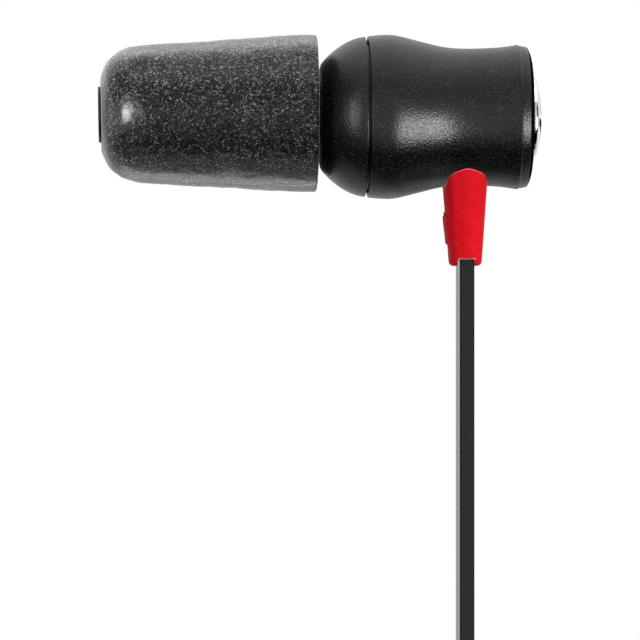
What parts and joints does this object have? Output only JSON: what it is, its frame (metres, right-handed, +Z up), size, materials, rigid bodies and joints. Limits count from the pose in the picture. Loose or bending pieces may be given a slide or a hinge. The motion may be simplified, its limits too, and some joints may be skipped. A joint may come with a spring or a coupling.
{
  "type": "wired earphones",
  "caption": "Stereo in-ear earphones with foam tips on round housings, red strain reliefs, a flat cord folded into a hank, a splitter and a headphone plug.",
  "frame": {"origin": "front centre of the left foam tip, on the left earpiece's own axis, where an ear holds it", "axes": "+X along both earpieces from the foam tip to the rear badge, +Y from the left earpiece to the right one, +Z up; the cord hangs along -Z"},
  "size_m": [0.0474, 0.0313, 0.1543],
  "materials": {
    "memory_foam": "matte open-cell memory foam",
    "core_rubber": "satin",
    "soft_touch_shell": "soft-touch, fine grain",
    "badge_chrome": "mirror polished",
    "relief_red": "satin red elastomer",
    "cord_rubber": "satin flat cord",
    "nozzle_plastic": "satin",
    "steel_mesh": "fine mesh",
    "driver_steel": "plated",
    "frame_brass": "stamped",
    "plug_gold": "gold plated",
    "diaphragm_film": "thin film",
    "coil_copper": "enamelled copper wire",
    "magnet_nickel": "nickel plated",
    "board_green": "solder mask",
    "damper_felt": "felt",
    "plug_insulator": "moulded",
    "wire_red": "enamel",
    "wire_green": "enamel",
    "strap_fabric": "hook-and-loop strap"
  },
  "bodies": {
    "root": {"nozzle_left": "nozzle_plastic", "nozzle_mesh_left": "steel_mesh", "acoustic_damper_left": "damper_felt", "front_housing_left": "soft_touch_shell", "driver_grille_left": "driver_steel", "driver_frame_left": "frame_brass", "top_plate_left": "driver_steel", "magnet_left": "magnet_nickel", "yoke_left": "driver_steel", "driver_board_left": "board_green", "rear_housing_left": "soft_touch_shell", "rear_badge_left": "badge_chrome", "strain_relief_left": "relief_red", "cord_crimp_left": "driver_steel", "wire_signal_left": "wire_red", "wire_return_left": "wire_green", "nozzle_right": "nozzle_plastic", "nozzle_mesh_right": "steel_mesh", "acoustic_damper_right": "damper_felt", "front_housing_right": "soft_touch_shell", "driver_grille_right": "driver_steel", "driver_frame_right": "frame_brass", "top_plate_right": "driver_steel", "magnet_right": "magnet_nickel", "yoke_right": "driver_steel", "driver_board_right": "board_green", "rear_housing_right": "soft_touch_shell", "rear_badge_right": "badge_chrome", "strain_relief_right": "relief_red", "cord_crimp_right": "driver_steel", "wire_signal_right": "wire_red", "wire_return_right": "wire_green", "cord_left": "cord_rubber", "cord_right": "cord_rubber", "cord_hank": "cord_rubber", "hank_tie": "strap_fabric", "splitter": "cord_rubber", "plug_relief": "relief_red", "plug_body": "soft_touch_shell", "plug_sleeve": "plug_gold", "plug_insulator_rear": "plug_insulator", "plug_ring": "plug_gold", "plug_insulator_front": "plug_insulator", "plug_tip": "plug_gold"},
    "ear_tip_left": {"foam_tip_left": "memory_foam", "tip_core_left": "core_rubber"},
    "cone_left": {"diaphragm_left": "diaphragm_film", "voice_coil_left": "coil_copper"},
    "ear_tip_right": {"foam_tip_right": "memory_foam", "tip_core_right": "core_rubber"},
    "cone_right": {"diaphragm_right": "diaphragm_film", "voice_coil_right": "coil_copper"}
  },
  "joints": [
    {"name": "ear_tip_pull_left", "type": "slide", "parent": "root", "child": "ear_tip_left", "axis": [-1, 0, 0], "range_m": [0, 0.012]},
    {"name": "cone_travel_left", "type": "slide", "parent": "root", "child": "cone_left", "axis": [-1, 0, 0], "range_m": [-0.00015, 0.00015], "stiffness_N_per_m": 60},
    {"name": "ear_tip_pull_right", "type": "slide", "parent": "root", "child": "ear_tip_right", "axis": [-1, 0, 0], "range_m": [0, 0.012]},
    {"name": "cone_travel_right", "type": "slide", "parent": "root", "child": "cone_right", "axis": [-1, 0, 0], "range_m": [-0.00015, 0.00015], "stiffness_N_per_m": 60}
  ]
}
